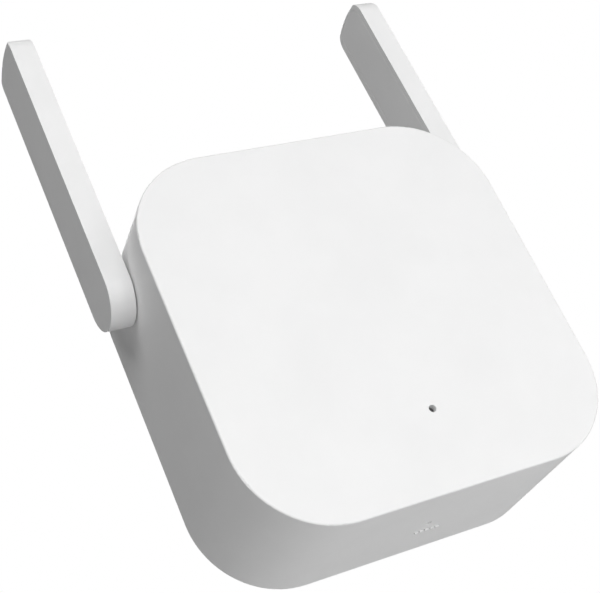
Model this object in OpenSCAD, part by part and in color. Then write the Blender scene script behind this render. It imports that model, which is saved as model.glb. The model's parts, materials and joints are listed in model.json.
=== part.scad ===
// Plug-in wifi range extender: a square case with rounded corners, two flat
// fold-down antennas on its sides and a two-pin mains plug on its back.
// +X is to the right seen from the front, +Y points into the wall socket, +Z is up.
// The origin is the centre of the plug's engagement face, midway between the pins.

/* [Case] */
// Width of the case seen from the front
case_w = 79; // [78:0.5:84]
// Height of the case seen from the front
case_h = 79; // [78:0.5:84]
// Depth of the case from its front face to its back
case_d = 32.5; // [32.5:0.5:36]
// Radius of the four corners seen from the front
corner_r = 18.3; // [17:0.1:19]
// Radius of the small round along the front and back edges
edge_r = 0.4; // [0.3:0.1:0.8]
// Thickness of the case walls
wall = 2; // [1.8:0.1:2.2]

/* [Plug] */
// How far the plug body stands out of the back
plug_proj = 15.9; // [15:0.1:17]
// Width of the plug body across its two points
plug_w = 35.3; // [34:0.1:36]
// Height of the plug body
plug_h = 13.7; // [13:0.1:14]
// Distance between the two pins
pin_spacing = 18.6; // [17.5:0.1:19.2]
// Diameter of the bare pin ends
pin_d = 4; // [4:0.1:4.8]
// Length of each pin outside the plug body
pin_len = 19; // [18:0.5:20]

/* [Antennas] */
// Length from the hinge axis to the antenna's tip
antenna_len = 62.5; // [50:0.5:80]
// Width of the flat antenna
antenna_w = 13.2; // [13:0.1:14]
// Thickness of the flat antenna
antenna_t = 5.1; // [5:0.1:6]
// Gap between the antenna and the case wall
antenna_gap = 0.3; // [0.2:0.05:0.6]
// Height of the hinge axis above the middle of the case
hinge_z = 21.9; // [21:0.1:22.6]
// Backward lean of the left antenna at rest, in degrees
left_lean = 0.75; // [0:0.25:4]
// Backward lean of the right antenna at rest, in degrees
right_lean = 1.5; // [0:0.25:4]
// Furthest backward lean that the hinge stop allows, in degrees
back_stop = 8; // [6:1:10]
// Furthest forward swing that the hinge stop allows, in degrees
front_stop = 180; // [170:1:184]

/* [Indicator and reset] */
// Diameter of the light hole in the front face
light_hole_d = 1.5; // [1.3:0.1:2]
// Diameter of the reset pinhole in the bottom wall
pinhole_d = 1; // [0.8:0.1:1.4]
// Travel of the reset plunger
reset_travel = 0.25; // [0.2:0.05:0.25]

/* [Hidden] */
$fn = 96;
small_fn = 48;
tube_sides = 8;
overshoot = 1;
// clearance of pieces that slide, turn or drop into each other
slip = 0.05;

// planes across the depth, from the wall to the front
back_y = -plug_proj;
front_y = back_y - case_d;
mid_y = (front_y + back_y) / 2;
front_inner_y = front_y + wall;
rear_t = 2;
rear_inner_y = back_y - rear_t;

// rear cover and its snap hooks
rear_gap = 0.1;
hook_w = 6;
hook_t = 1.2;
hook_len = 8;
hook_gap = 0.15;
barb_h = 1.6;
barb_out = 0.6;
ledge_w = 6;
ledge_out = 1.5;
ledge_h = 3;
hook_x = 14;
hook_z = -10;
ledge_zs = [-24, 4];

// plug body, pins, sleeves and contacts
plug_flat = 26;
plug_nose_h = 4.4;
plug_gap = 0.1;
flange_w = 42;
flange_h = 20;
flange_t = 1.6;
flange_r = 3;
flange_y = rear_inner_y - flange_t;
sleeve_len = 10;
sleeve_root = 2;
sleeve_r = 1.8;
neck_r = 1.5;
pin_dome = 1;
pin_head_r = 2.6;
pin_head_h = 1;
contact_t = 0.3;
contact_w = 5;
contact_l = 6;

// power board and what stands on it, towards the front
board_gap = 2.5;
power_y = flange_y - board_gap;
power_t = 1.6;
power_w = 60;
power_h = 44;
power_z = -10;
power_front_y = power_y - power_t;
power_screw_x = 26;
power_screw_zs = [-28, 8];
standoff_r = 2.5;

// main board, parallel to the front
switch_axis_h = 2.3;
main_t = 1;
main_y = mid_y - switch_axis_h;
main_front_y = main_y - main_t;
main_w = 58;
main_top = 33;
main_bottom = -case_h / 2 + wall + 1.9;
main_corner_r = 6;
main_screw_x = 24;
main_screw_z = 28;

// self-tapping screws
screw_r = 0.8;
screw_len = 5;
head_r = 1.9;
head_h = 1.3;
board_hole_r = 1.1;
pilot_depth = 7;

// transformer, wound round the middle leg of its core
core_w = 16;
core_h = 14;
core_t = 5;
leg_w = 4.4;
yoke = 2.4;
window_w = 3.6;
winding_r = 4.2;
bobbin_wall = 0.5;
bobbin_foot = 0.4;
transformer_x = 10;
transformer_z = -13;
transformer_y = power_front_y - bobbin_foot - winding_r;

// power parts
bulk_r = 4;
bulk_len = 12;
bulk_xs = [-23.5, -14];
bulk_z = -17;
output_r = 3.15;
output_h = 8;
output_x = 24.5;
output_z = -6;
crimp = 0.3;
choke_r = 3.2;
choke_h = 7;
choke_waist_r = 2.2;
choke_x = -17;
choke_z = -5;
fuse_r = 1.6;
fuse_len = 8;
fuse_x = -16;
fuse_z = 6;
lead_r = 0.35;
bridge_size = [6.4, 2.4, 8];
bridge_x = -5;
bridge_z = 2;
chip_size = [5, 1.7, 4];
chip_x = -4;
chip_z = -13;
disc_r = 3.6;
disc_t = 3;
disc_x = 10;
disc_z = 4;
link_x = 22;
link_z = -20;
link_pitch = 2.54;
link_pins = 3;
link_size = [link_pitch * link_pins, 2.5, 2.6];
socket_h = 6;
link_pin_w = 0.64;

// insulating sheet between the boards
sheet_t = 0.3;
sheet_y = transformer_y - winding_r;
sheet_w = 56;
sheet_top = 12;
sheet_bottom = -29;

// main board parts
soc_size = [12, 0.9, 12];
soc_z = 10;
can_size = [30, 2.2, 26];
can_wall = 0.2;
pad_size = 10;
spreader_size = [40, 1.2, 40];
crystal_size = [3.2, 0.8, 2.5];
crystal_x = 10;
crystal_z = 2;
memory_size = [6, 1.7, 5];
memory_x = 16;
memory_z = -18;

// status light
light_x = 1.75;
light_z = -23.4;
led_size = [1.6, 0.6, 0.8];
pipe_r = 1.5;
pipe_gap = 0.3;
pipe_tip_depth = 1.2;
pipe_boss_r = 2.8;
pipe_boss_len = 5;

// reset switch, pushed upwards through the pinhole
switch_w = 6;
switch_d = 4.2;
switch_h = 3.6;
switch_bottom = main_bottom;
plunger_w = 2.4;
plunger_t = 1.4;
plunger_out = 1.1;
shoulder_w = 3.4;
shoulder_h = 1.4;
lip_h = 0.95;
dome_t = reset_travel + 0.15;
dome_z = switch_bottom + switch_h - 0.8;
shoulder_z = dome_z - dome_t - shoulder_h;
tick_count = 5;
tick_pitch = 1.18;
tick_w = 0.8;
tick_d = 0.5;
tick_h = 0.3;
tick_row_x = 0.9;
tick_y = front_y + 19.7;

// antenna shells: a tray with a flush lid on the side that faces the case
tip_corner_r = 4.5;
tip_dome_r = 20;
tip_outer_r = 2;
tip_inner_r = 1.3;
inner_corner_r = 0.3;
shell_t = 1;
rim_t = 1.4;
ledge_t = 2;
lid_t = 1;
half_w = case_w / 2;
lid_x = half_w + antenna_gap;
outer_x = lid_x + antenna_t;
lid_inner_x = lid_x + lid_t;
tray_x = outer_x - shell_t;

// hinge: a hollow barrel through the wall, a washer, a ring and a stop lug
barrel_r = 3.5;
barrel_bore_r = 1.6;
barrel_end_x = half_w - 8;
shoulder_r = 5;
hinge_boss_r = 6.4;
hinge_boss_x = half_w - 4;
washer_t = 0.5;
washer_r = 5.1;
washer_x = hinge_boss_x - slip;
groove_r = 2.9;
ring_t = 0.8;
ring_x = washer_x - washer_t;
ring_opening = 4.6;
lug_x = ring_x - ring_t - 0.1;
lug_t = 1.3;
lug_r = 6;
lug_half_angle = 10;
stop_r = 5.4;
stop_outer_r = hinge_boss_r - 0.3;
stop_x = lug_x - lug_t - 0.1;
stop_gap_angle = 1;

// antenna inside
element_w = 8.4;
element_t = 0.8;
element_base = 9;
element_top = antenna_len - 6;
lead_cable_r = 0.55;
lead_x = tray_x - element_t - lead_cable_r;

// coax from the end of the barrel to the plug on the main board
socket_x = 24;
socket_z = 15.5;
socket_size = [3, 0.6, 3];
coax_plug_r = 1.5;
coax_plug_h = 1.1;
crimp_len = 1.6;
crimp_w = 1.6;
coax_plug_y = main_y + socket_size[1];
coax_y = coax_plug_y + coax_plug_h / 2;
coax_end_z = socket_z + coax_plug_r + crimp_len - 0.3;
coax_route = [
    [barrel_end_x - 0.1, mid_y, hinge_z],
    [barrel_end_x - 1.3, mid_y, hinge_z],
    [socket_x + 4.2, mid_y, hinge_z - 0.2],
    [socket_x + 2.2, mid_y - 0.4, hinge_z - 0.6],
    [socket_x + 0.6, coax_y + 0.1, hinge_z - 1.4],
    [socket_x, coax_y, coax_end_z + 1.2],
    [socket_x, coax_y, coax_end_z]
];
lead_route = [
    [barrel_end_x + 0.1, 0, 0],
    [half_w - 3.5, 0, 0],
    [half_w, 0, 0.1],
    [lid_inner_x + 0.5, 0, 0.7],
    [lead_x - 0.3, 0, 2.2],
    [lead_x, 0, 4],
    [lead_x, 0, 8],
    [lead_x, 0, 12]
];

// ---------- general shapes ----------

// rectangle with true round corners, centred
module rounded_rect(w, h, r) {
    square([w - 2 * r, h], center = true);
    square([w, h - 2 * r], center = true);
    for (x = [-1, 1], y = [-1, 1])
        translate([x * (w / 2 - r), y * (h / 2 - r)]) circle(r);
}

// half of a rectangle with round outer corners, for turning about its left side
module half_rounded(r, d, e) {
    translate([0, -d / 2]) square([r - e, d]);
    translate([0, e - d / 2]) square([r, d - 2 * e]);
    for (y = [-1, 1]) translate([r - e, y * (d / 2 - e)]) circle(e, $fn = small_fn);
}

// an outline drawn in X and Z, as a slab from y0 to y1
module slab_y(y0, y1)
    translate([0, y1, 0]) rotate([90, 0, 0]) linear_extrude(height = y1 - y0) children();

// an outline drawn in Y and Z, as a slab from x0 to x1
module slab_x(x0, x1)
    translate([x0, 0, 0]) rotate([90, 0, 90]) linear_extrude(height = x1 - x0) children();

// a block centred in X and Z that starts at y0 and is size[1] deep
module block_y(x, y0, z, size)
    translate([x - size[0] / 2, y0, z - size[2] / 2]) cube(size);

// a cylinder along Y from y0 to y1
module rod_y(x, z, r, y0, y1)
    translate([x, y0, z]) rotate([-90, 0, 0]) cylinder(r = r, h = y1 - y0);

// a cylinder along X from x0 to x1
module rod_x(r, x0, x1)
    translate([x0, 0, 0]) rotate([0, 90, 0]) cylinder(r = r, h = x1 - x0);

// a block with round corners seen from the front and a small round along its rims
module rounded_block(w, h, r, y0, y1, e) {
    d = y1 - y0;
    translate([0, (y0 + y1) / 2, 0]) {
        translate([r - w / 2, 0, 0]) rotate([90, 0, 90])
            linear_extrude(height = w - 2 * r) rounded_rect(d, h, e, $fn = small_fn);
        translate([0, 0, r - h / 2])
            linear_extrude(height = h - 2 * r) rounded_rect(w, d, e, $fn = small_fn);
        for (x = [-1, 1], z = [-1, 1])
            translate([x * (w / 2 - r), 0, z * (h / 2 - r)]) rotate([90, 0, 0])
                rotate_extrude() half_rounded(r, d, e);
    }
}

// places a right-hand piece on either side: side is -1 for left, 1 for right
module on_side(side) {
    if (side < 0) mirror([1, 0, 0]) children();
    else children();
}

// places a piece drawn about the hinge axis, leaning back by lean degrees
module hinged(side, lean)
    translate([0, mid_y, hinge_z]) rotate([-lean, 0, 0]) on_side(side) children();

// ---------- swept round cables ----------

// a point on the smooth curve through a route, for t from 0 to the number of spans
function curve_point(route, t) =
    let (
        last = len(route) - 1,
        i = min(floor(t), last - 1),
        u = t - i,
        a = route[max(i - 1, 0)],
        b = route[i],
        c = route[i + 1],
        d = route[min(i + 2, last)]
    )
    b + 0.5 * u * ((c - a) + u * ((2 * a - 5 * b + 4 * c - d) + u * (3 * (b - c) + d - a)));

function unit(v) = v / norm(v);

// directions across the cable at a point, kept steady by a fixed reference
function ring_at(p, dir, r, ref) =
    let (s = unit(cross(dir, ref)), n = cross(s, dir))
    [for (k = [0 : tube_sides - 1])
        let (a = 360 * k / tube_sides) p + r * (cos(a) * s + sin(a) * n)];

// a round cable of radius r along the curve through a route
module cable(route, r, ref, per_span = 2) {
    spans = len(route) - 1;
    steps = spans * per_span;
    points = [for (i = [0 : steps]) curve_point(route, i / per_span)];
    dirs = [for (i = [0 : steps])
        unit(points[min(i + 1, steps)] - points[max(i - 1, 0)])];
    rings = [for (i = [0 : steps]) each ring_at(points[i], dirs[i], r, ref)];
    sides = [
        for (i = [0 : steps - 1], k = [0 : tube_sides - 1])
            let (
                a = i * tube_sides + k,
                b = i * tube_sides + (k + 1) % tube_sides
            )
            [a, b, b + tube_sides, a + tube_sides]
    ];
    start = [for (k = [tube_sides - 1 : -1 : 0]) k];
    end = [for (k = [0 : tube_sides - 1]) steps * tube_sides + k];
    polyhedron(points = rings, faces = concat([start], sides, [end]), convexity = 6);
}

// ---------- case ----------

module at_main_screws()
    for (x = [-1, 1], z = [-1, 1])
        translate([x * main_screw_x, 0, z * main_screw_z]) children();

module at_power_screws()
    for (x = [-1, 1], z = power_screw_zs)
        translate([x * power_screw_x, 0, z]) children();

// six places for the snap hooks, each with +X pointing out through the wall
module at_hooks() {
    for (s = [-1, 1]) {
        translate([s * (case_w / 2 - wall), 0, hook_z]) rotate([0, s < 0 ? 180 : 0, 0])
            children();
        for (x = [-1, 1])
            translate([x * hook_x, 0, s * (case_h / 2 - wall)]) rotate([0, -s * 90, 0])
                children();
    }
}

// blocks on the inside of the walls that the rear cover rests on
module at_ledges() {
    for (s = [-1, 1]) {
        for (z = ledge_zs)
            translate([s * (case_w / 2 - wall), 0, z]) rotate([0, s < 0 ? 180 : 0, 0])
                children();
        translate([0, 0, s * (case_h / 2 - wall)]) rotate([0, -s * 90, 0]) children();
    }
}

module ledge()
    translate([-ledge_out, rear_inner_y - ledge_h, -ledge_w / 2])
        cube([ledge_out + wall / 2, ledge_h, ledge_w]);

module hook_pocket()
    translate([-overshoot, rear_inner_y - hook_len - 0.2, -hook_w / 2 - 0.5])
        cube([overshoot + barb_out, barb_h + 0.4, hook_w + 1]);

module snap_hook() {
    translate([-hook_gap - hook_t, rear_inner_y - hook_len, -hook_w / 2])
        cube([hook_t, hook_len + rear_t / 2, hook_w]);
    translate([0, 0, -hook_w / 2]) linear_extrude(height = hook_w) polygon([
        [-hook_gap - hook_t / 2, rear_inner_y - hook_len],
        [-hook_gap, rear_inner_y - hook_len],
        [barb_out - hook_gap, rear_inner_y - hook_len + barb_h * 0.6],
        [barb_out - hook_gap, rear_inner_y - hook_len + barb_h],
        [-hook_gap - hook_t / 2, rear_inner_y - hook_len + barb_h]
    ]);
}

// raised arc inside the case that the hinge lug meets at both ends of its swing
module hinge_stop() {
    from = 90 + front_stop + lug_half_angle + stop_gap_angle;
    to = 360 + 90 - back_stop - lug_half_angle - stop_gap_angle;
    rotate([0, 90, 0]) translate([0, 0, stop_x]) rotate([0, 0, from + 90])
        rotate_extrude(angle = to - from)
            translate([stop_r, 0])
                square([stop_outer_r - stop_r, hinge_boss_x - stop_x + wall / 2]);
}

// row of plain marks that stand out of the bottom wall beside the pinhole
module raised_ticks()
    for (i = [0 : tick_count - 1])
        translate([
            tick_row_x + (i - (tick_count - 1) / 2) * tick_pitch - tick_w / 2,
            tick_y,
            -case_h / 2 - tick_h
        ])
            cube([tick_w, tick_d, tick_h + wall / 2]);

module front_cover() color("whitesmoke") difference() {
    union() {
        difference() {
            rounded_block(case_w, case_h, corner_r, front_y, back_y, edge_r);
            slab_y(front_inner_y, back_y + overshoot)
                rounded_rect(case_w - 2 * wall, case_h - 2 * wall, corner_r - wall);
        }
        at_ledges() ledge();
        at_main_screws() rod_y(0, 0, standoff_r, front_inner_y - wall / 2, main_front_y);
        rod_y(light_x, light_z, pipe_boss_r, front_inner_y - wall / 2,
            front_inner_y + pipe_boss_len);
        for (side = [-1, 1]) hinged(side, 0) {
            rod_x(hinge_boss_r, hinge_boss_x, half_w - wall);
            hinge_stop();
        }
        raised_ticks();
    }
    for (side = [-1, 1]) hinged(side, 0)
        rod_x(barrel_r + slip, hinge_boss_x - overshoot, half_w + overshoot);
    at_hooks() hook_pocket();
    at_main_screws() rod_y(0, 0, screw_r, main_front_y - pilot_depth, main_front_y + overshoot);
    rod_y(light_x, light_z, light_hole_d / 2, front_y - overshoot, front_inner_y);
    rod_y(light_x, light_z, pipe_r + slip, front_inner_y,
        front_inner_y + pipe_boss_len + overshoot);
    translate([0, mid_y, -case_h / 2 - overshoot])
        cylinder(d = pinhole_d, h = wall + 2 * overshoot, $fn = small_fn);
}

// eight-sided outline of the plug body, wide in the middle
module plug_outline(grow = 0) {
    nose = [plug_w / 2 + grow, plug_nose_h / 2 + grow / 2];
    flat = [plug_flat / 2 + grow / 2, plug_h / 2 + grow];
    polygon([
        nose,
        flat,
        [-flat[0], flat[1]],
        [-nose[0], nose[1]],
        -nose,
        -flat,
        [flat[0], -flat[1]],
        [nose[0], -nose[1]]
    ]);
}

module rear_cover() color("whitesmoke") difference() {
    union() {
        slab_y(rear_inner_y, back_y)
            rounded_rect(case_w - 2 * (wall + rear_gap), case_h - 2 * (wall + rear_gap),
                corner_r - wall - rear_gap);
        at_hooks() snap_hook();
        at_power_screws() rod_y(0, 0, standoff_r, power_y, back_y - rear_t / 2);
    }
    slab_y(rear_inner_y - overshoot, back_y + overshoot) plug_outline(plug_gap);
    at_power_screws() rod_y(0, 0, screw_r, power_y - overshoot, power_y + screw_len - power_t);
}

// ---------- plug ----------

module plug_body() color("whitesmoke") difference() {
    union() {
        slab_y(flange_y, 0) plug_outline();
        slab_y(flange_y, rear_inner_y) rounded_rect(flange_w, flange_h, flange_r);
    }
    for (s = [-1, 1]) {
        rod_y(s * pin_spacing / 2, 0, neck_r, flange_y - overshoot, -sleeve_root);
        rod_y(s * pin_spacing / 2, 0, sleeve_r, -sleeve_root, overshoot);
    }
}

module plug_pin(x) color("goldenrod") translate([x, 0, 0]) rotate([-90, 0, 0])
    rotate_extrude() polygon(concat(
        [
            [0, flange_y - pin_head_h],
            [pin_head_r, flange_y - pin_head_h],
            [pin_head_r, flange_y],
            [neck_r, flange_y],
            [neck_r, sleeve_len],
            [pin_d / 2, sleeve_len]
        ],
        [for (a = [0 : 15 : 90])
            [pin_d / 2 - pin_dome * (1 - cos(a)), pin_len - pin_dome * (1 - sin(a))]],
        [[0, pin_len]]
    ));

module live_pin() plug_pin(-pin_spacing / 2);

module neutral_pin() plug_pin(pin_spacing / 2);

module pin_sleeves() color("dimgray")
    for (s = [-1, 1]) difference() {
        rod_y(s * pin_spacing / 2, 0, sleeve_r, -sleeve_root, sleeve_len);
        rod_y(s * pin_spacing / 2, 0, neck_r, -sleeve_root - overshoot, sleeve_len + overshoot);
    }

// C-shaped leaf spring between the power board and the head of a pin
module pin_contact(x) color("silver") {
    top_y = flange_y - pin_head_h;
    translate([x - contact_w / 2, 0, 0]) {
        translate([0, power_y, -contact_l / 2]) cube([contact_w, contact_t, contact_l]);
        translate([0, power_y, contact_l / 2 - contact_t])
            cube([contact_w, top_y - power_y, contact_t]);
        translate([0, top_y - contact_t, -contact_l / 4])
            cube([contact_w, contact_t, contact_l * 3 / 4]);
    }
}

module live_contact() pin_contact(-pin_spacing / 2);

module neutral_contact() pin_contact(pin_spacing / 2);

// ---------- power board ----------

// the pins of the link between the boards, along X
module link_pin_row(y0, y1, w)
    for (i = [0 : link_pins - 1])
        block_y(link_x + (i - (link_pins - 1) / 2) * link_pitch, y0, link_z, [w, y1 - y0, w]);

module power_board() color("darkgreen") difference() {
    slab_y(power_front_y, power_y) translate([0, power_z]) square([power_w, power_h], center = true);
    at_power_screws() rod_y(0, 0, board_hole_r, power_front_y - overshoot, power_y + overshoot);
    link_pin_row(power_front_y - overshoot, power_y + overshoot, link_pin_w);
}

// pan-head screw whose head bears on the plane y = 0 and points to -Y
module screw() {
    rod_y(0, 0, head_r, -head_h, 0);
    rod_y(0, 0, screw_r, 0, screw_len);
}

module power_board_screws() color("silver")
    at_power_screws() translate([0, power_front_y, 0]) screw();

// axial part lying along X with two bent leads down to the power board
module axial_part(x, z, r, len, span) {
    y = power_front_y - r - 0.2;
    translate([x - len / 2, y, z]) rotate([0, 90, 0]) cylinder(r = r, h = len, $fn = small_fn);
    for (s = [-1, 1]) {
        translate([x + s * (span / 2 + len / 2) / 2, y, z]) rotate([0, 90, 0])
            cylinder(r = lead_r, h = (span - len) / 2 + 2 * lead_r, center = true, $fn = small_fn);
        rod_y(x + s * span / 2, z, lead_r, y, power_front_y);
    }
}

module fuse_resistor() color("seagreen")
    axial_part(fuse_x, fuse_z, fuse_r, fuse_len, fuse_len + 3);

module emi_choke() color("darkslategray")
    translate([choke_x, power_front_y, choke_z]) rotate([90, 0, 0]) {
        cylinder(r = choke_r, h = 1.2);
        cylinder(r = choke_waist_r, h = choke_h);
        translate([0, 0, choke_h - 1.2]) cylinder(r = choke_r, h = 1.2);
    }

module bridge_rectifier() color("black")
    block_y(bridge_x, power_front_y - bridge_size[1], bridge_z, bridge_size);

// turned can of an electrolytic capacitor along +Z with its rubber seal groove
module capacitor_can(r, len)
    rotate_extrude() polygon([
        [0, 0],
        [r, 0],
        [r, 1],
        [r - crimp, 1.4],
        [r - crimp, 1.8],
        [r, 2.2],
        [r, len - crimp],
        [r - crimp, len],
        [0, len]
    ]);

module bulk_capacitors() color("black")
    for (x = bulk_xs)
        translate([x, power_front_y - bulk_r - 0.2, bulk_z - bulk_len / 2]) {
            capacitor_can(bulk_r, bulk_len);
            for (s = [-1, 1]) translate([s * 1.75, 0, 0]) {
                translate([0, 0, -1.2]) cylinder(r = lead_r, h = 1.4, $fn = small_fn);
                rod_y(0, -1.2 + lead_r, lead_r, 0, bulk_r + 0.2);
            }
        }

module output_capacitor() color("black")
    translate([output_x, power_front_y, output_z]) rotate([90, 0, 0])
        capacitor_can(output_r, output_h);

module power_chip() color("black")
    block_y(chip_x, power_front_y - chip_size[1], chip_z, chip_size);

module y_capacitor() color("royalblue")
    translate([disc_x, power_front_y - disc_r - 0.6, disc_z]) {
        cylinder(r = disc_r, h = disc_t, center = true);
        for (s = [-1, 1])
            rod_y(s * 2, 0, lead_r, 0, disc_r + 0.6);
    }

// ---------- transformer ----------

module transformer_core() color("dimgray")
    translate([transformer_x, transformer_y, transformer_z]) difference() {
        cube([core_w, core_t, core_h], center = true);
        for (s = [-1, 1])
            translate([s * (leg_w + window_w) / 2, 0, 0])
                cube([window_w, core_t + overshoot, core_h - 2 * yoke], center = true);
    }

// spool round the middle leg, whose end cheeks stand on the board
module transformer_bobbin() color("black")
    translate([transformer_x, transformer_y, transformer_z]) difference() {
        spool_h = core_h - 2 * yoke;
        union() {
            cube([leg_w + 2 * bobbin_wall, core_t + 2 * bobbin_wall, spool_h], center = true);
            for (s = [-1, 1])
                block_y(0, -winding_r, s * (spool_h - bobbin_wall) / 2,
                    [leg_w + 2 * window_w, 2 * winding_r + bobbin_foot, bobbin_wall]);
        }
        cube([leg_w, core_t, spool_h + overshoot], center = true);
    }

module transformer_winding() color("gold")
    translate([transformer_x, transformer_y, transformer_z]) difference() {
        turns_h = core_h - 2 * yoke - 2 * bobbin_wall;
        linear_extrude(height = turns_h, center = true)
            rounded_rect(2 * winding_r, 2 * winding_r, 2, $fn = small_fn);
        cube([leg_w + 2 * bobbin_wall, core_t + 2 * bobbin_wall, turns_h + overshoot],
            center = true);
    }

// ---------- link between the boards ----------

module link_header() color("black") {
    block_y(link_x, power_front_y - link_size[1], link_z, link_size);
    link_pin_row(main_y, power_y, link_pin_w);
}

module link_socket() color("black") difference() {
    block_y(link_x, main_y, link_z, [link_size[0], socket_h, link_size[2]]);
    link_pin_row(main_y - overshoot, main_y + socket_h + overshoot, link_pin_w);
}

module insulation_sheet() color("ivory", 0.8) difference() {
    slab_y(sheet_y - sheet_t, sheet_y) translate([0, (sheet_top + sheet_bottom) / 2])
        square([sheet_w, sheet_top - sheet_bottom], center = true);
    block_y(link_x, sheet_y - sheet_t - overshoot, link_z,
        [link_size[0] + 1, sheet_t + 2 * overshoot, link_size[2] + 1]);
}

// ---------- main board ----------

module main_board() color("darkgreen") difference() {
    slab_y(main_front_y, main_y) translate([0, (main_top + main_bottom) / 2])
        rounded_rect(main_w, main_top - main_bottom, main_corner_r);
    at_main_screws() rod_y(0, 0, board_hole_r, main_front_y - overshoot, main_y + overshoot);
}

module main_board_screws() color("silver")
    at_main_screws() translate([0, main_y, 0]) mirror([0, 1, 0]) screw();

module wifi_chip() color("black")
    block_y(0, main_front_y - soc_size[1], soc_z, soc_size);

module memory_chip() color("black")
    block_y(memory_x, main_front_y - memory_size[1], memory_z, memory_size);

module clock_crystal() color("silver")
    block_y(crystal_x, main_front_y - crystal_size[1], crystal_z, crystal_size);

module thermal_pad() color("lightblue") {
    pad_y = main_front_y - can_size[1] + can_wall;
    block_y(0, pad_y, soc_z, [pad_size, can_size[1] - can_wall - soc_size[1], pad_size]);
}

module shield_can() color("silver") difference() {
    block_y(0, main_front_y - can_size[1], soc_z, can_size);
    block_y(0, main_front_y - can_size[1] + can_wall, soc_z,
        [can_size[0] - 2 * can_wall, can_size[1], can_size[2] - 2 * can_wall]);
}

module heat_spreader() color("lightgray")
    block_y(0, main_front_y - can_size[1] - spreader_size[1], soc_z, spreader_size);

// ---------- status light ----------

module status_led() color("lightyellow")
    block_y(light_x, main_front_y - led_size[1], light_z, led_size);

module light_pipe() color("gray") {
    rod_y(light_x, light_z, pipe_r, front_inner_y, main_front_y - led_size[1] - pipe_gap);
    rod_y(light_x, light_z, light_hole_d / 2 - slip, front_y + pipe_tip_depth,
        front_inner_y + overshoot);
}

// ---------- reset switch ----------

// a box centred on the switch axis between two heights
module switch_box(w, d, z0, z1)
    translate([-w / 2, mid_y - d / 2, z0]) cube([w, d, z1 - z0]);

module reset_switch_body() color("black") difference() {
    translate([-switch_w / 2, main_y, switch_bottom]) cube([switch_w, switch_d, switch_h]);
    switch_box(plunger_w + 2 * slip, plunger_t + 2 * slip,
        switch_bottom - overshoot, switch_bottom + lip_h + slip);
    switch_box(shoulder_w + 2 * slip, plunger_t + 2 * slip,
        switch_bottom + lip_h, dome_z);
}

module reset_switch_dome() color("silver") switch_box(shoulder_w, plunger_t, dome_z - dome_t, dome_z);

module reset_plunger() color("ivory") {
    switch_box(plunger_w, plunger_t, switch_bottom - plunger_out, dome_z - dome_t);
    switch_box(shoulder_w, plunger_t, shoulder_z, dome_z - dome_t);
}

// ---------- antennas ----------

module antenna_sockets() color("silver")
    for (s = [-1, 1]) block_y(s * socket_x, main_y, socket_z, socket_size);

// side view of the antenna, drawn in by inset: a round base and a domed tip
module antenna_outline(inset) {
    r = antenna_w / 2 - inset;
    corner = max(tip_corner_r - inset, inner_corner_r);
    dome = tip_dome_r - inset;
    dome_z0 = antenna_len - tip_dome_r;
    corner_y = r - corner;
    corner_z = dome_z0 + sqrt(pow(dome - corner, 2) - pow(corner_y, 2));
    wedge = tip_dome_r / (dome - corner);
    circle(r);
    translate([-r, 0]) square([2 * r, corner_z]);
    for (s = [-1, 1]) translate([s * corner_y, corner_z]) circle(corner, $fn = small_fn);
    intersection() {
        translate([0, dome_z0]) circle(dome, $fn = 2 * $fn);
        polygon([
            [0, dome_z0],
            [corner_y * wedge, dome_z0 + (corner_z - dome_z0) * wedge],
            [0, antenna_len + overshoot],
            [-corner_y * wedge, dome_z0 + (corner_z - dome_z0) * wedge]
        ]);
    }
}

// rounded part of the rim of the tip's disc, at height x across the antenna's thickness
module tip_rim(r, x) translate([tip_dome_r - r, x]) intersection() {
    circle(r, $fn = small_fn);
    translate([0, -r]) square([r, 2 * r]);
}

// disc about the centre of the tip's dome, whose rim is rounded across the antenna's thickness
module tip_disc()
    translate([lid_x, 0, antenna_len - tip_dome_r]) rotate([0, 90, 0]) rotate_extrude($fn = 2 * $fn) {
        square([tip_dome_r - tip_outer_r, antenna_t]);
        square([tip_dome_r - tip_inner_r, antenna_t - tip_outer_r]);
        translate([0, tip_inner_r]) square([tip_dome_r, antenna_t - tip_inner_r - tip_outer_r]);
        tip_rim(tip_inner_r, tip_inner_r);
        tip_rim(tip_outer_r, antenna_t - tip_outer_r);
    }

module antenna_shell() color("whitesmoke") {
    difference() {
        intersection() {
            slab_x(lid_x, outer_x) antenna_outline(0);
            union() {
                tip_disc();
                slab_x(lid_x, outer_x) translate([-antenna_w, -antenna_w])
                    square([2 * antenna_w, antenna_w + antenna_len - tip_dome_r]);
            }
        }
        slab_x(lid_x - overshoot, lid_inner_x) antenna_outline(rim_t);
        slab_x(lid_inner_x - overshoot, tray_x) antenna_outline(ledge_t);
    }
}

// ring sector standing on the barrel that meets the stop inside the case
module stop_lug()
    rotate([0, 90, 0]) translate([0, 0, lug_x - lug_t]) rotate([0, 0, 180 - lug_half_angle])
        rotate_extrude(angle = 2 * lug_half_angle)
            translate([(barrel_r + barrel_bore_r) / 2, 0])
                square([lug_r - (barrel_r + barrel_bore_r) / 2, lug_t]);

module antenna_lid() color("whitesmoke") difference() {
    union() {
        slab_x(lid_x, lid_inner_x) antenna_outline(rim_t + slip);
        rod_x(shoulder_r, half_w + slip, lid_x + lid_t / 2);
        rod_x(barrel_r, barrel_end_x, lid_x + lid_t / 2);
        stop_lug();
    }
    rod_x(barrel_bore_r, barrel_end_x - overshoot, lid_inner_x + overshoot);
    difference() {
        rod_x(barrel_r + overshoot, ring_x - ring_t, ring_x);
        rod_x(groove_r, ring_x - ring_t - overshoot, ring_x + overshoot);
    }
}

module antenna_element() color("darkgreen")
    slab_x(tray_x - element_t, tray_x)
        translate([-element_w / 2, element_base]) square([element_w, element_top - element_base]);

module antenna_lead() color("dimgray") cable(lead_route, lead_cable_r, [0, 1, 0]);

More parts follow.
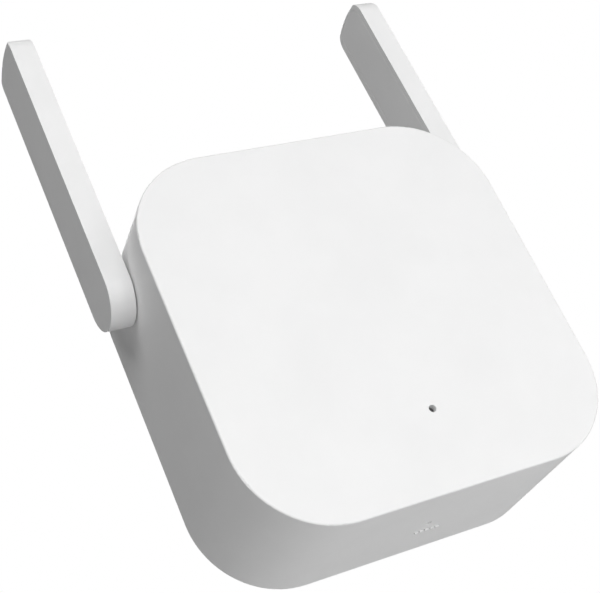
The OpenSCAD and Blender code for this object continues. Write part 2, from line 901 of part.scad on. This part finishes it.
module friction_washer() color("silver") difference() {
    rod_x(washer_r, washer_x - washer_t, washer_x);
    rod_x(barrel_r + slip, washer_x - washer_t - overshoot, washer_x + overshoot);
}

// open ring that snaps into the barrel's groove from the side
module retaining_ring() color("silver") difference() {
    rod_x(washer_r, ring_x - ring_t, ring_x);
    rod_x(groove_r, ring_x - ring_t - overshoot, ring_x + overshoot);
    translate([ring_x - ring_t - overshoot, 0, -ring_opening / 2])
        cube([ring_t + 2 * overshoot, washer_r + overshoot, ring_opening]);
}

module coax() color("dimgray") cable(coax_route, lead_cable_r, [0, 1, 0.2]);

module coax_plug() color("goldenrod") difference() {
    union() {
        rod_y(socket_x, socket_z, coax_plug_r, coax_plug_y, coax_plug_y + coax_plug_h);
        translate([socket_x - crimp_w / 2, coax_plug_y, socket_z])
            cube([crimp_w, coax_plug_h + 0.3, coax_plug_r + crimp_len]);
    }
    translate([socket_x, coax_y, coax_end_z])
        cylinder(r = lead_cable_r, h = overshoot, $fn = small_fn);
}

module left_antenna_shell() hinged(-1, left_lean) antenna_shell();

module left_antenna_lid() hinged(-1, left_lean) antenna_lid();

module left_antenna_element() hinged(-1, left_lean) antenna_element();

module left_antenna_lead() hinged(-1, left_lean) antenna_lead();

module left_friction_washer() hinged(-1, left_lean) friction_washer();

module left_retaining_ring() hinged(-1, left_lean) retaining_ring();

module left_coax() on_side(-1) coax();

module left_coax_plug() on_side(-1) coax_plug();

module right_antenna_shell() hinged(1, right_lean) antenna_shell();

module right_antenna_lid() hinged(1, right_lean) antenna_lid();

module right_antenna_element() hinged(1, right_lean) antenna_element();

module right_antenna_lead() hinged(1, right_lean) antenna_lead();

module right_friction_washer() hinged(1, right_lean) friction_washer();

module right_retaining_ring() hinged(1, right_lean) retaining_ring();

module right_coax() on_side(1) coax();

module right_coax_plug() on_side(1) coax_plug();

// ---------- what is drawn ----------

front_cover();
rear_cover();
plug_body();
live_pin();
neutral_pin();
pin_sleeves();
live_contact();
neutral_contact();
power_board();
power_board_screws();
fuse_resistor();
emi_choke();
bridge_rectifier();
bulk_capacitors();
power_chip();
transformer_core();
transformer_bobbin();
transformer_winding();
y_capacitor();
output_capacitor();
link_header();
link_socket();
insulation_sheet();
main_board();
main_board_screws();
wifi_chip();
memory_chip();
clock_crystal();
thermal_pad();
shield_can();
heat_spreader();
status_led();
light_pipe();
reset_switch_body();
reset_switch_dome();
reset_plunger();
antenna_sockets();
left_antenna_shell();
left_antenna_lid();
left_antenna_element();
left_antenna_lead();
left_friction_washer();
left_retaining_ring();
left_coax();
left_coax_plug();
right_antenna_shell();
right_antenna_lid();
right_antenna_element();
right_antenna_lead();
right_friction_washer();
right_retaining_ring();
right_coax();
right_coax_plug();
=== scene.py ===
"""Looks of the wifi range extender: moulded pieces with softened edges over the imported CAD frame, one procedural
material for each kind of surface, a pale floor, soft studio light and the camera."""

import json
import math

import bmesh
import bpy
from mathutils import Matrix, Vector

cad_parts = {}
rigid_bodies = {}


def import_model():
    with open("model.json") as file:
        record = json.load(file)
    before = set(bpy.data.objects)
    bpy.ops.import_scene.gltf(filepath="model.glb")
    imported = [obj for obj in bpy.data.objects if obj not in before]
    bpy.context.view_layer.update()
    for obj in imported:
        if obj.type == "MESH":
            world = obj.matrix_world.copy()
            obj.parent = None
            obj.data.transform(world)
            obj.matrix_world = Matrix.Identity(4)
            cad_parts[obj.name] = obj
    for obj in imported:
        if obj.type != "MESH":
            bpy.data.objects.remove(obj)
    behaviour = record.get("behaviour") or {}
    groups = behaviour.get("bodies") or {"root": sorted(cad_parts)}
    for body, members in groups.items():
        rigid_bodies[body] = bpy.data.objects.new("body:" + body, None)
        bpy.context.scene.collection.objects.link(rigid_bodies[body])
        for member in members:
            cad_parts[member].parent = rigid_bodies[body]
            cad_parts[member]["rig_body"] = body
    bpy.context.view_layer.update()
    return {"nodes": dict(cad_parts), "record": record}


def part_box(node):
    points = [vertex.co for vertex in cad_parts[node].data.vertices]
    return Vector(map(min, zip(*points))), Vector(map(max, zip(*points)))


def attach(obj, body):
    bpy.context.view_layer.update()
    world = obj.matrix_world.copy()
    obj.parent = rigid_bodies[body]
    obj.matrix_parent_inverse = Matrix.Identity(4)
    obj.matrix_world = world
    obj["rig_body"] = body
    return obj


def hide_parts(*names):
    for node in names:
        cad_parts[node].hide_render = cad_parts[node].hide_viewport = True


MM = 0.001

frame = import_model()
nodes = frame["nodes"]


# ---------- materials ----------

class Look:
    """One material and short ways to add nodes to it. Lengths are in millimetres, in the part's own frame."""

    def __init__(self, name, **values):
        self.material = bpy.data.materials.new(name)
        self.material.use_nodes = True
        self.tree = self.material.node_tree
        self.shader = self.tree.nodes["Principled BSDF"]
        for socket, value in values.items():
            self.shader.inputs[socket.replace("_", " ")].default_value = value
        coordinates = self.add("ShaderNodeTexCoord")
        self.normal = coordinates.outputs["Normal"]
        self.place = self.scaled(coordinates.outputs["Object"], (1 / MM,) * 3)

    def add(self, kind, inputs=(), **settings):
        node = self.tree.nodes.new(kind)
        for key, value in settings.items():
            setattr(node, key, value)
        for key, value in dict(inputs).items():
            if isinstance(value, bpy.types.NodeSocket):
                self.tree.links.new(value, node.inputs[key])
            else:
                node.inputs[key].default_value = value
        return node

    def scaled(self, vector, scale, turn=(0, 0, 0)):
        return self.add("ShaderNodeMapping", {"Vector": vector, "Scale": scale, "Rotation": turn}).outputs[0]

    def noise(self, size, detail=2.0, vector=None, roughness=0.5):
        """Cloudy noise whose blobs are about size millimetres across."""
        inputs = {"Vector": vector or self.place, "Scale": 1 / size, "Detail": detail, "Roughness": roughness}
        return self.add("ShaderNodeTexNoise", inputs).outputs["Fac"]

    def fit(self, value, low, high, to_low=0.0, to_high=1.0):
        inputs = {"Value": value, "From Min": low, "From Max": high, "To Min": to_low, "To Max": to_high}
        return self.add("ShaderNodeMapRange", inputs).outputs[0]

    def maths(self, operation, a, b=0.0):
        return self.add("ShaderNodeMath", {0: a, 1: b}, operation=operation).outputs[0]

    def part(self, vector, axis):
        return self.add("ShaderNodeSeparateXYZ", {0: vector}).outputs[axis]

    def mix(self, share, a, b):
        node = self.add("ShaderNodeMix", data_type="RGBA")
        for index, value in ((0, share), (6, a), (7, b)):
            if isinstance(value, bpy.types.NodeSocket):
                self.tree.links.new(value, node.inputs[index])
            else:
                node.inputs[index].default_value = value if index == 0 else (*value, 1)
        return node.outputs[2]

    def bump(self, height, depth, under=None):
        """A normal from a height of 0 to 1 that stands for depth millimetres."""
        inputs = {"Height": height, "Distance": depth * MM, "Strength": 1.0}
        if under:
            inputs["Normal"] = under
        return self.add("ShaderNodeBump", inputs).outputs[0]

    def use(self, **sockets):
        for socket, value in sockets.items():
            self.tree.links.new(value, self.shader.inputs[socket.replace("_", " ")])
        return self.material


def moulded(name, colour, shade, rough, grain=0.22, depth=0.0045, spread=0.05, **values):
    """Moulded plastic: a spark-eroded grain, a faint flow unevenness, and slow changes in tone and gloss."""
    look = Look(name, **values)
    grain_height = look.noise(grain, 3.0, roughness=0.65)
    slow = look.noise(14.0, 3.0)
    flow = look.noise(5.0, 1.0)
    tone = look.maths("ADD", look.maths("MULTIPLY", slow, 0.7), look.maths("MULTIPLY", grain_height, 0.3))
    colours = look.mix(look.fit(tone, 0.35, 0.65), colour, shade)
    roughness = look.fit(look.noise(2.2, 4.0), 0.3, 0.7, rough - spread, rough + spread)
    wavy = look.bump(flow, 0.008)
    return look.use(Base_Color=colours, Roughness=roughness, Normal=look.bump(grain_height, depth, wavy))


def metal(name, colour, shade, rough, along=(1, 1, 1), depth=0.002):
    """Metal with a fine drawn or brushed grain. along stretches the grain: a small number makes it long that way."""
    look = Look(name, Metallic=1.0)
    lines = look.noise(0.25, 4.0, look.scaled(look.place, along), 0.7)
    tarnish = look.noise(3.0, 4.0)
    colours = look.mix(look.fit(tarnish, 0.35, 0.7), colour, shade)
    roughness = look.fit(lines, 0.3, 0.7, rough - 0.08, rough + 0.1)
    return look.use(Base_Color=colours, Roughness=roughness, Normal=look.bump(lines, depth))


def circuit_board(name):
    """Solder mask with tracks and round pads that stand out of it by the copper's thickness."""
    look = Look(name, IOR=1.5)
    across = look.add("ShaderNodeCombineXYZ", {0: look.part(look.place, 0), 1: look.part(look.place, 2)}).outputs[0]
    cells = look.add("ShaderNodeTexVoronoi", {"Vector": across, "Scale": 0.3}, feature="F1", distance="CHEBYCHEV")
    rings = look.maths("PINGPONG", cells.outputs["Distance"], 0.11)
    track = look.fit(rings, 0.04, 0.055)
    pads = look.add("ShaderNodeTexVoronoi", {"Vector": across, "Scale": 0.35}, feature="F1")
    pad = look.fit(pads.outputs["Distance"], 0.17, 0.15)
    weave = look.noise(0.35, 2.0, look.scaled(look.place, (3, 1, 1)))
    mask = look.mix(track, (0.012, 0.075, 0.035), (0.02, 0.14, 0.065))
    mask = look.mix(look.fit(weave, 0.4, 0.6, 0.0, 0.25), mask, (0.03, 0.17, 0.08))
    colours = look.mix(pad, mask, (0.75, 0.74, 0.7))
    roughness = look.fit(look.noise(1.5, 3.0), 0.3, 0.7, 0.28, 0.42)
    height = look.maths("ADD", look.maths("MULTIPLY", track, 0.5), pad)
    return look.use(Base_Color=colours, Roughness=roughness, Metallic=pad, Normal=look.bump(height, 0.035))


def wound(name):
    """Polyester tape over wire: turns that show through as ridges, and the step of the tape's overlap."""
    look = Look(name, Coat_Weight=0.3)
    height = look.part(look.place, 1)
    turns = look.maths("PINGPONG", height, 0.2)
    overlap = look.maths("PINGPONG", look.maths("ADD", height, look.noise(2.0)), 1.7)
    tape = look.mix(look.fit(turns, 0.0, 0.2), (0.74, 0.56, 0.1), (0.85, 0.7, 0.2))
    colours = look.mix(look.fit(overlap, 1.55, 1.6), tape, (0.6, 0.42, 0.06))
    roughness = look.fit(look.noise(0.8, 3.0), 0.3, 0.7, 0.22, 0.38)
    return look.use(Base_Color=colours, Roughness=roughness, Normal=look.bump(turns, 0.06))


def can_sleeve(name):
    """An electrolytic capacitor: shrunk sleeve on the side, bare pressed aluminium on the end, one pale stripe."""
    look = Look(name)
    end = look.fit(look.maths("ABSOLUTE", look.part(look.normal, 1)), 0.8, 0.9)
    stripe = look.fit(look.part(look.normal, 0), 0.93, 0.95)
    sleeve = look.mix(look.fit(look.noise(4.0, 3.0), 0.3, 0.7), (0.012, 0.016, 0.035), (0.02, 0.026, 0.05))
    sleeve = look.mix(stripe, sleeve, (0.5, 0.52, 0.55))
    colours = look.mix(end, sleeve, (0.8, 0.8, 0.81))
    roughness = look.fit(look.noise(1.0, 3.0), 0.3, 0.7, 0.26, 0.4)
    return look.use(Base_Color=colours, Roughness=roughness, Metallic=end,
                    Normal=look.bump(look.noise(0.9, 2.0), 0.012))


def speckled(name, colour, fleck, size, rough, depth, **values):
    """A sintered, filled or dipped material: flecks of a second tone and a pitted skin."""
    look = Look(name, **values)
    grains = look.add("ShaderNodeTexVoronoi", {"Vector": look.place, "Scale": 1 / size}).outputs["Distance"]
    cloud = look.noise(size * 12, 3.0)
    share = look.maths("ADD", look.fit(grains, 0.5, 0.1, 0.0, 0.5), look.fit(cloud, 0.35, 0.65, 0.0, 0.5))
    roughness = look.fit(look.noise(size * 3, 3.0), 0.3, 0.7, rough - 0.07, rough + 0.07)
    return look.use(Base_Color=look.mix(share, colour, fleck), Roughness=roughness,
                    Normal=look.bump(grains, depth))


LOOKS = {
    "white_case": moulded("white_case", (0.83, 0.83, 0.83), (0.805, 0.806, 0.806), 0.5),
    "white_antenna": moulded("white_antenna", (0.83, 0.83, 0.83), (0.805, 0.806, 0.806), 0.46, depth=0.0035),
    "plug_plastic": moulded("plug_plastic", (0.79, 0.79, 0.79), (0.76, 0.76, 0.758), 0.42, depth=0.003),
    "pin_metal": metal("pin_metal", (0.78, 0.77, 0.74), (0.7, 0.68, 0.63), 0.2, (1, 0.1, 1), 0.001),
    "sleeve_plastic": moulded("sleeve_plastic", (0.03, 0.03, 0.032), (0.045, 0.045, 0.046), 0.4, depth=0.002),
    "spring_metal": metal("spring_metal", (0.72, 0.72, 0.7), (0.62, 0.62, 0.58), 0.3, (0.15, 1, 1)),
    "screw_steel": metal("screw_steel", (0.6, 0.61, 0.62), (0.66, 0.65, 0.5), 0.34),
    "board": circuit_board("board"),
    "resistor_body": speckled("resistor_body", (0.04, 0.17, 0.1), (0.06, 0.22, 0.14), 0.12, 0.6, 0.01),
    "ferrite": speckled("ferrite", (0.02, 0.02, 0.022), (0.045, 0.045, 0.047), 0.08, 0.62, 0.012),
    "chip_body": speckled("chip_body", (0.012, 0.012, 0.013), (0.022, 0.022, 0.023), 0.06, 0.55, 0.006),
    "capacitor_can": can_sleeve("capacitor_can"),
    "disc_coating": speckled("disc_coating", (0.02, 0.08, 0.38), (0.03, 0.12, 0.46), 0.5, 0.25, 0.015),
    "winding": wound("winding"),
    "bobbin": moulded("bobbin", (0.02, 0.02, 0.02), (0.03, 0.03, 0.03), 0.5, depth=0.003),
    "connector": moulded("connector", (0.016, 0.016, 0.016), (0.025, 0.025, 0.025), 0.45, depth=0.003),
    "film": moulded("film", (0.8, 0.77, 0.66), (0.76, 0.73, 0.6), 0.25, 1.5, 0.01),
    "can_metal": metal("can_metal", (0.75, 0.75, 0.74), (0.68, 0.68, 0.66), 0.32, (1, 1, 0.12)),
    "aluminium_plate": metal("aluminium_plate", (0.8, 0.8, 0.81), (0.73, 0.73, 0.74), 0.36, (0.06, 1, 1)),
    "thermal_gel": speckled("thermal_gel", (0.26, 0.34, 0.42), (0.32, 0.4, 0.48), 0.15, 0.7, 0.02),
    "led_body": speckled("led_body", (0.8, 0.7, 0.3), (0.85, 0.76, 0.38), 0.08, 0.35, 0.004),
    "light_guide": moulded("light_guide", (0.07, 0.07, 0.075), (0.1, 0.1, 0.105), 0.18, 0.6, 0.002),
    "switch_plastic": moulded("switch_plastic", (0.02, 0.02, 0.02), (0.03, 0.03, 0.03), 0.45, depth=0.003),
    "plunger_plastic": moulded("plunger_plastic", (0.6, 0.57, 0.45), (0.56, 0.53, 0.41), 0.45, depth=0.003),
    "gold_contact": metal("gold_contact", (0.83, 0.62, 0.22), (0.76, 0.54, 0.18), 0.24),
    "coax_jacket": moulded("coax_jacket", (0.035, 0.035, 0.037), (0.05, 0.05, 0.052), 0.42, 0.3, 0.004),
}
slot_of = {part["node"]: part["material_slot"] for part in frame["record"]["subparts"]}
for name, node in nodes.items():
    node.data.materials.clear()
    node.data.materials.append(LOOKS[slot_of[name]])


# ---------- moulded pieces with softened edges ----------

# Vertices closer than this, in metres, are one vertex. Faces within FLAT of each other are one face. An edge that
# turns by more than SHARP stays a sharp edge in the shading, and only such an edge is rounded.
WELD = 1e-7
FLAT = math.radians(0.2)
SHARP = math.radians(28)
ROUND_STEPS = 3
# how close to a plane, in mm, an end of an edge counts as on it
NEAR = 0.02

# radii of the rounds, in mm
FRONT_RIM_ROUND = 0.08
BACK_RIM_ROUND = 0.1
COVER_ROUND = 0.2
PINHOLE_ROUND = 0.2
MARK_ROUND = 0.08
PLUG_SIDE_ROUND = 0.7
PLUG_FACE_ROUND = 0.3
SLEEVE_ROUND = 0.15
ANTENNA_OUTER_ROUND = 0.45
ANTENNA_INNER_ROUND = 0.12

# Places in mm: the pinhole is in front of PINHOLE_BACK and the raised marks are behind it, the edges of the plug's
# flat top and bottom are farther than PLUG_FLANK from its middle and longer than PLUG_EDGE_LENGTH, the sleeves' free
# ends are beyond SLEEVE_TIP, and the edge round an antenna's face is within TRAY_DEPTH of that face.
PINHOLE_BACK = -30
PLUG_FLANK = 4
PLUG_EDGE_LENGTH = 1
PLUG_FACE_Y = 0
SLEEVE_TIP = 9
TRAY_DEPTH = 0.95

# axis numbers for the tests below
X, Y, Z = range(3)


def softened(node, rounds):
    """A finished mesh in place of a CAD node: the same walls, with each chosen sharp edge turned into a small round.
    rounds holds pairs of a radius in mm and a test of an edge's two ends in mm. The pairs are used in turn. Concave
    faces are cut into convex ones first, so that a round can't fold one over itself."""
    source = nodes[node]
    bm = bmesh.new()
    bm.from_mesh(source.data)
    bmesh.ops.remove_doubles(bm, verts=bm.verts, dist=WELD)
    bmesh.ops.dissolve_limit(bm, angle_limit=FLAT, verts=bm.verts, edges=bm.edges)
    bmesh.ops.connect_verts_concave(bm, faces=bm.faces)
    for radius, chosen in rounds:
        edges = [
            e for e in bm.edges
            if e.is_manifold and e.calc_face_angle() > SHARP and chosen(*(v.co / MM for v in e.verts))
        ]
        bmesh.ops.bevel(bm, geom=edges, offset=radius * MM, offset_type="OFFSET", segments=ROUND_STEPS, profile=0.5,
                        affect="EDGES", clamp_overlap=True)
    for face in bm.faces:
        face.smooth = True
    for edge in bm.edges:
        edge.smooth = not edge.is_manifold or edge.calc_face_angle() < SHARP
    mesh = bpy.data.meshes.new(node + "_moulded")
    bm.to_mesh(mesh)
    bm.free()
    mesh.materials.append(source.data.materials[0])
    piece = bpy.data.objects.new(node + "_moulded", mesh)
    bpy.context.scene.collection.objects.link(piece)
    modifier = piece.modifiers.new("even_flats", "WEIGHTED_NORMAL")
    modifier.keep_sharp = True
    modifier.weight = 100
    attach(piece, source["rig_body"])
    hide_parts(node)
    return piece


def within(axis, level, reach=NEAR):
    """Test that both ends of an edge are within reach of a plane."""
    return lambda a, b: abs(a[axis] - level) < reach and abs(b[axis] - level) < reach


def corners_mm(node):
    return tuple(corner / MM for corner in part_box(node))


shell_low, shell_high = corners_mm("front_cover")


def pinhole_rim(a, b):
    return within(Z, -shell_high.z)(a, b) and max(a.y, b.y) < PINHOLE_BACK


def raised_mark(a, b):
    return min(a.z, b.z) < shell_low.z + NEAR


def plug_side(a, b):
    outside = min(a.y, b.y) > shell_high.y - NEAR
    on_flank = min(abs(a.z), abs(b.z)) > PLUG_FLANK
    return outside and on_flank and abs(a.y - b.y) > PLUG_EDGE_LENGTH


softened("front_cover", [
    (FRONT_RIM_ROUND, within(Y, shell_low.y)),
    (BACK_RIM_ROUND, within(Y, shell_high.y)),
    (PINHOLE_ROUND, pinhole_rim),
    (MARK_ROUND, raised_mark),
])
softened("rear_cover", [(COVER_ROUND, within(Y, shell_high.y))])
softened("plug_body", [(PLUG_SIDE_ROUND, plug_side), (PLUG_FACE_ROUND, within(Y, PLUG_FACE_Y))])
softened("pin_sleeves", [(SLEEVE_ROUND, lambda a, b: min(a.y, b.y) > SLEEVE_TIP)])
for side in ("left", "right"):
    low, high = corners_mm(side + "_antenna_shell")
    outer, inner = (low.x, high.x) if side == "left" else (high.x, low.x)
    softened(side + "_antenna_shell", [
        (ANTENNA_OUTER_ROUND, within(X, outer, TRAY_DEPTH)),
        (ANTENNA_INNER_ROUND, within(X, inner, TRAY_DEPTH)),
    ])
    softened(side + "_antenna_lid", [(ANTENNA_INNER_ROUND, within(X, inner))])


# ---------- floor, light and camera ----------

FLOOR_Z = -350 * MM
FLOOR_HALF = 1.0
CAMERA_AT = Vector((-122.85, -245.68, -91.79)) * MM
CAMERA_AZIMUTH = 28.976
CAMERA_ELEVATION = 23.217
CAMERA_ROLL = 25.005
CAMERA_LENS = 78.55
SENSOR = 36.0
SUN_SPREAD = math.radians(40)
WORLD_FILL = 0.03

# Soft square lights, all looking at LIT_POINT: the direction to the light, its distance and size in metres, and its
# power in watts. The far ones are the studio, and the near one lifts the bottom wall.
LIT_POINT = Vector((0, -30, 10)) * MM
FAR = (0.9, 0.5)
CLOSE = (0.2, 0.25)
LIGHTS = {
    "front": ((0, -1, 0), *FAR, 3.45),
    "key": ((-0.45, -0.75, 0.5), *FAR, 3.05),
    "right": ((0.6, -0.8, 0), *FAR, 1.75),
    "left": ((-1, 0, 0), *FAR, 0.42),
    "top": ((0, 0, 1), *FAR, 0.8),
    "under": ((0.6, 0, -0.8), *CLOSE, 0.06),
}


def make_camera():
    a, e, r = (math.radians(x) for x in (CAMERA_AZIMUTH, CAMERA_ELEVATION, CAMERA_ROLL))
    ahead = Vector((math.sin(a) * math.cos(e), math.cos(a) * math.cos(e), math.sin(e)))
    level = Vector((math.cos(a), -math.sin(a), 0))
    upright = level.cross(ahead)
    right = level * math.cos(r) - upright * math.sin(r)
    up = upright * math.cos(r) + level * math.sin(r)
    data = bpy.data.cameras.new("camera")
    data.lens, data.sensor_width = CAMERA_LENS, SENSOR
    data.clip_start, data.clip_end = 0.01, 20.0
    camera = bpy.data.objects.new("camera", data)
    camera.matrix_world = Matrix.Translation(CAMERA_AT) @ Matrix((right, up, -ahead)).transposed().to_4x4()
    bpy.context.scene.collection.objects.link(camera)
    bpy.context.scene.camera = camera


def area_light(name, direction, distance, size, power):
    """A soft square light that looks at LIT_POINT."""
    data = bpy.data.lights.new(name, "AREA")
    data.shape, data.size, data.energy = "SQUARE", size, power
    light = bpy.data.objects.new(name, data)
    away = Vector(direction).normalized()
    light.location = LIT_POINT + away * distance
    light.rotation_mode = "QUATERNION"
    light.rotation_quaternion = away.to_track_quat("Z", "Y")
    bpy.context.scene.collection.objects.link(light)


def sun_light(name, direction, strength):
    """Broad soft daylight that also lights the floor and the back of the object."""
    data = bpy.data.lights.new(name, "SUN")
    data.energy, data.angle = strength, SUN_SPREAD
    light = bpy.data.objects.new(name, data)
    light.rotation_mode = "QUATERNION"
    light.rotation_quaternion = Vector(direction).to_track_quat("Z", "Y")
    bpy.context.scene.collection.objects.link(light)


def make_world(fill):
    """White behind the object, and an even grey that lights it."""
    world = bpy.data.worlds.new("studio")
    world.use_nodes = True
    tree = world.node_tree
    tree.nodes.clear()
    seen, lit = tree.nodes.new("ShaderNodeBackground"), tree.nodes.new("ShaderNodeBackground")
    seen.inputs["Color"].default_value = (1, 1, 1, 1)
    lit.inputs["Color"].default_value = (1, 1, 1, 1)
    seen.inputs["Strength"].default_value = 1.0
    lit.inputs["Strength"].default_value = fill
    path, mix = tree.nodes.new("ShaderNodeLightPath"), tree.nodes.new("ShaderNodeMixShader")
    out = tree.nodes.new("ShaderNodeOutputWorld")
    tree.links.new(path.outputs["Is Camera Ray"], mix.inputs[0])
    tree.links.new(lit.outputs[0], mix.inputs[1])
    tree.links.new(seen.outputs[0], mix.inputs[2])
    tree.links.new(mix.outputs[0], out.inputs[0])
    bpy.context.scene.world = world


def make_floor():
    mesh = bpy.data.meshes.new("floor")
    corners = [(x * FLOOR_HALF, y * FLOOR_HALF, FLOOR_Z) for x, y in ((-1, -1), (1, -1), (1, 1), (-1, 1))]
    mesh.from_pydata(corners, [], [(0, 1, 2, 3)])
    floor = bpy.data.objects.new("floor", mesh)
    look = Look("floor", Roughness=0.8)
    colour = look.mix(look.noise(300.0), (0.8, 0.8, 0.8), (0.77, 0.77, 0.77))
    mesh.materials.append(look.use(Base_Color=colour, Normal=look.bump(look.noise(3.0), 0.02)))
    bpy.context.scene.collection.objects.link(floor)


make_camera()
make_world(WORLD_FILL)
make_floor()
for name, settings in LIGHTS.items():
    area_light(name, *settings)
sun_light("back", (0.45, 0.75, 0.45), 2.1)
bpy.context.scene.view_settings.view_transform = "Standard"
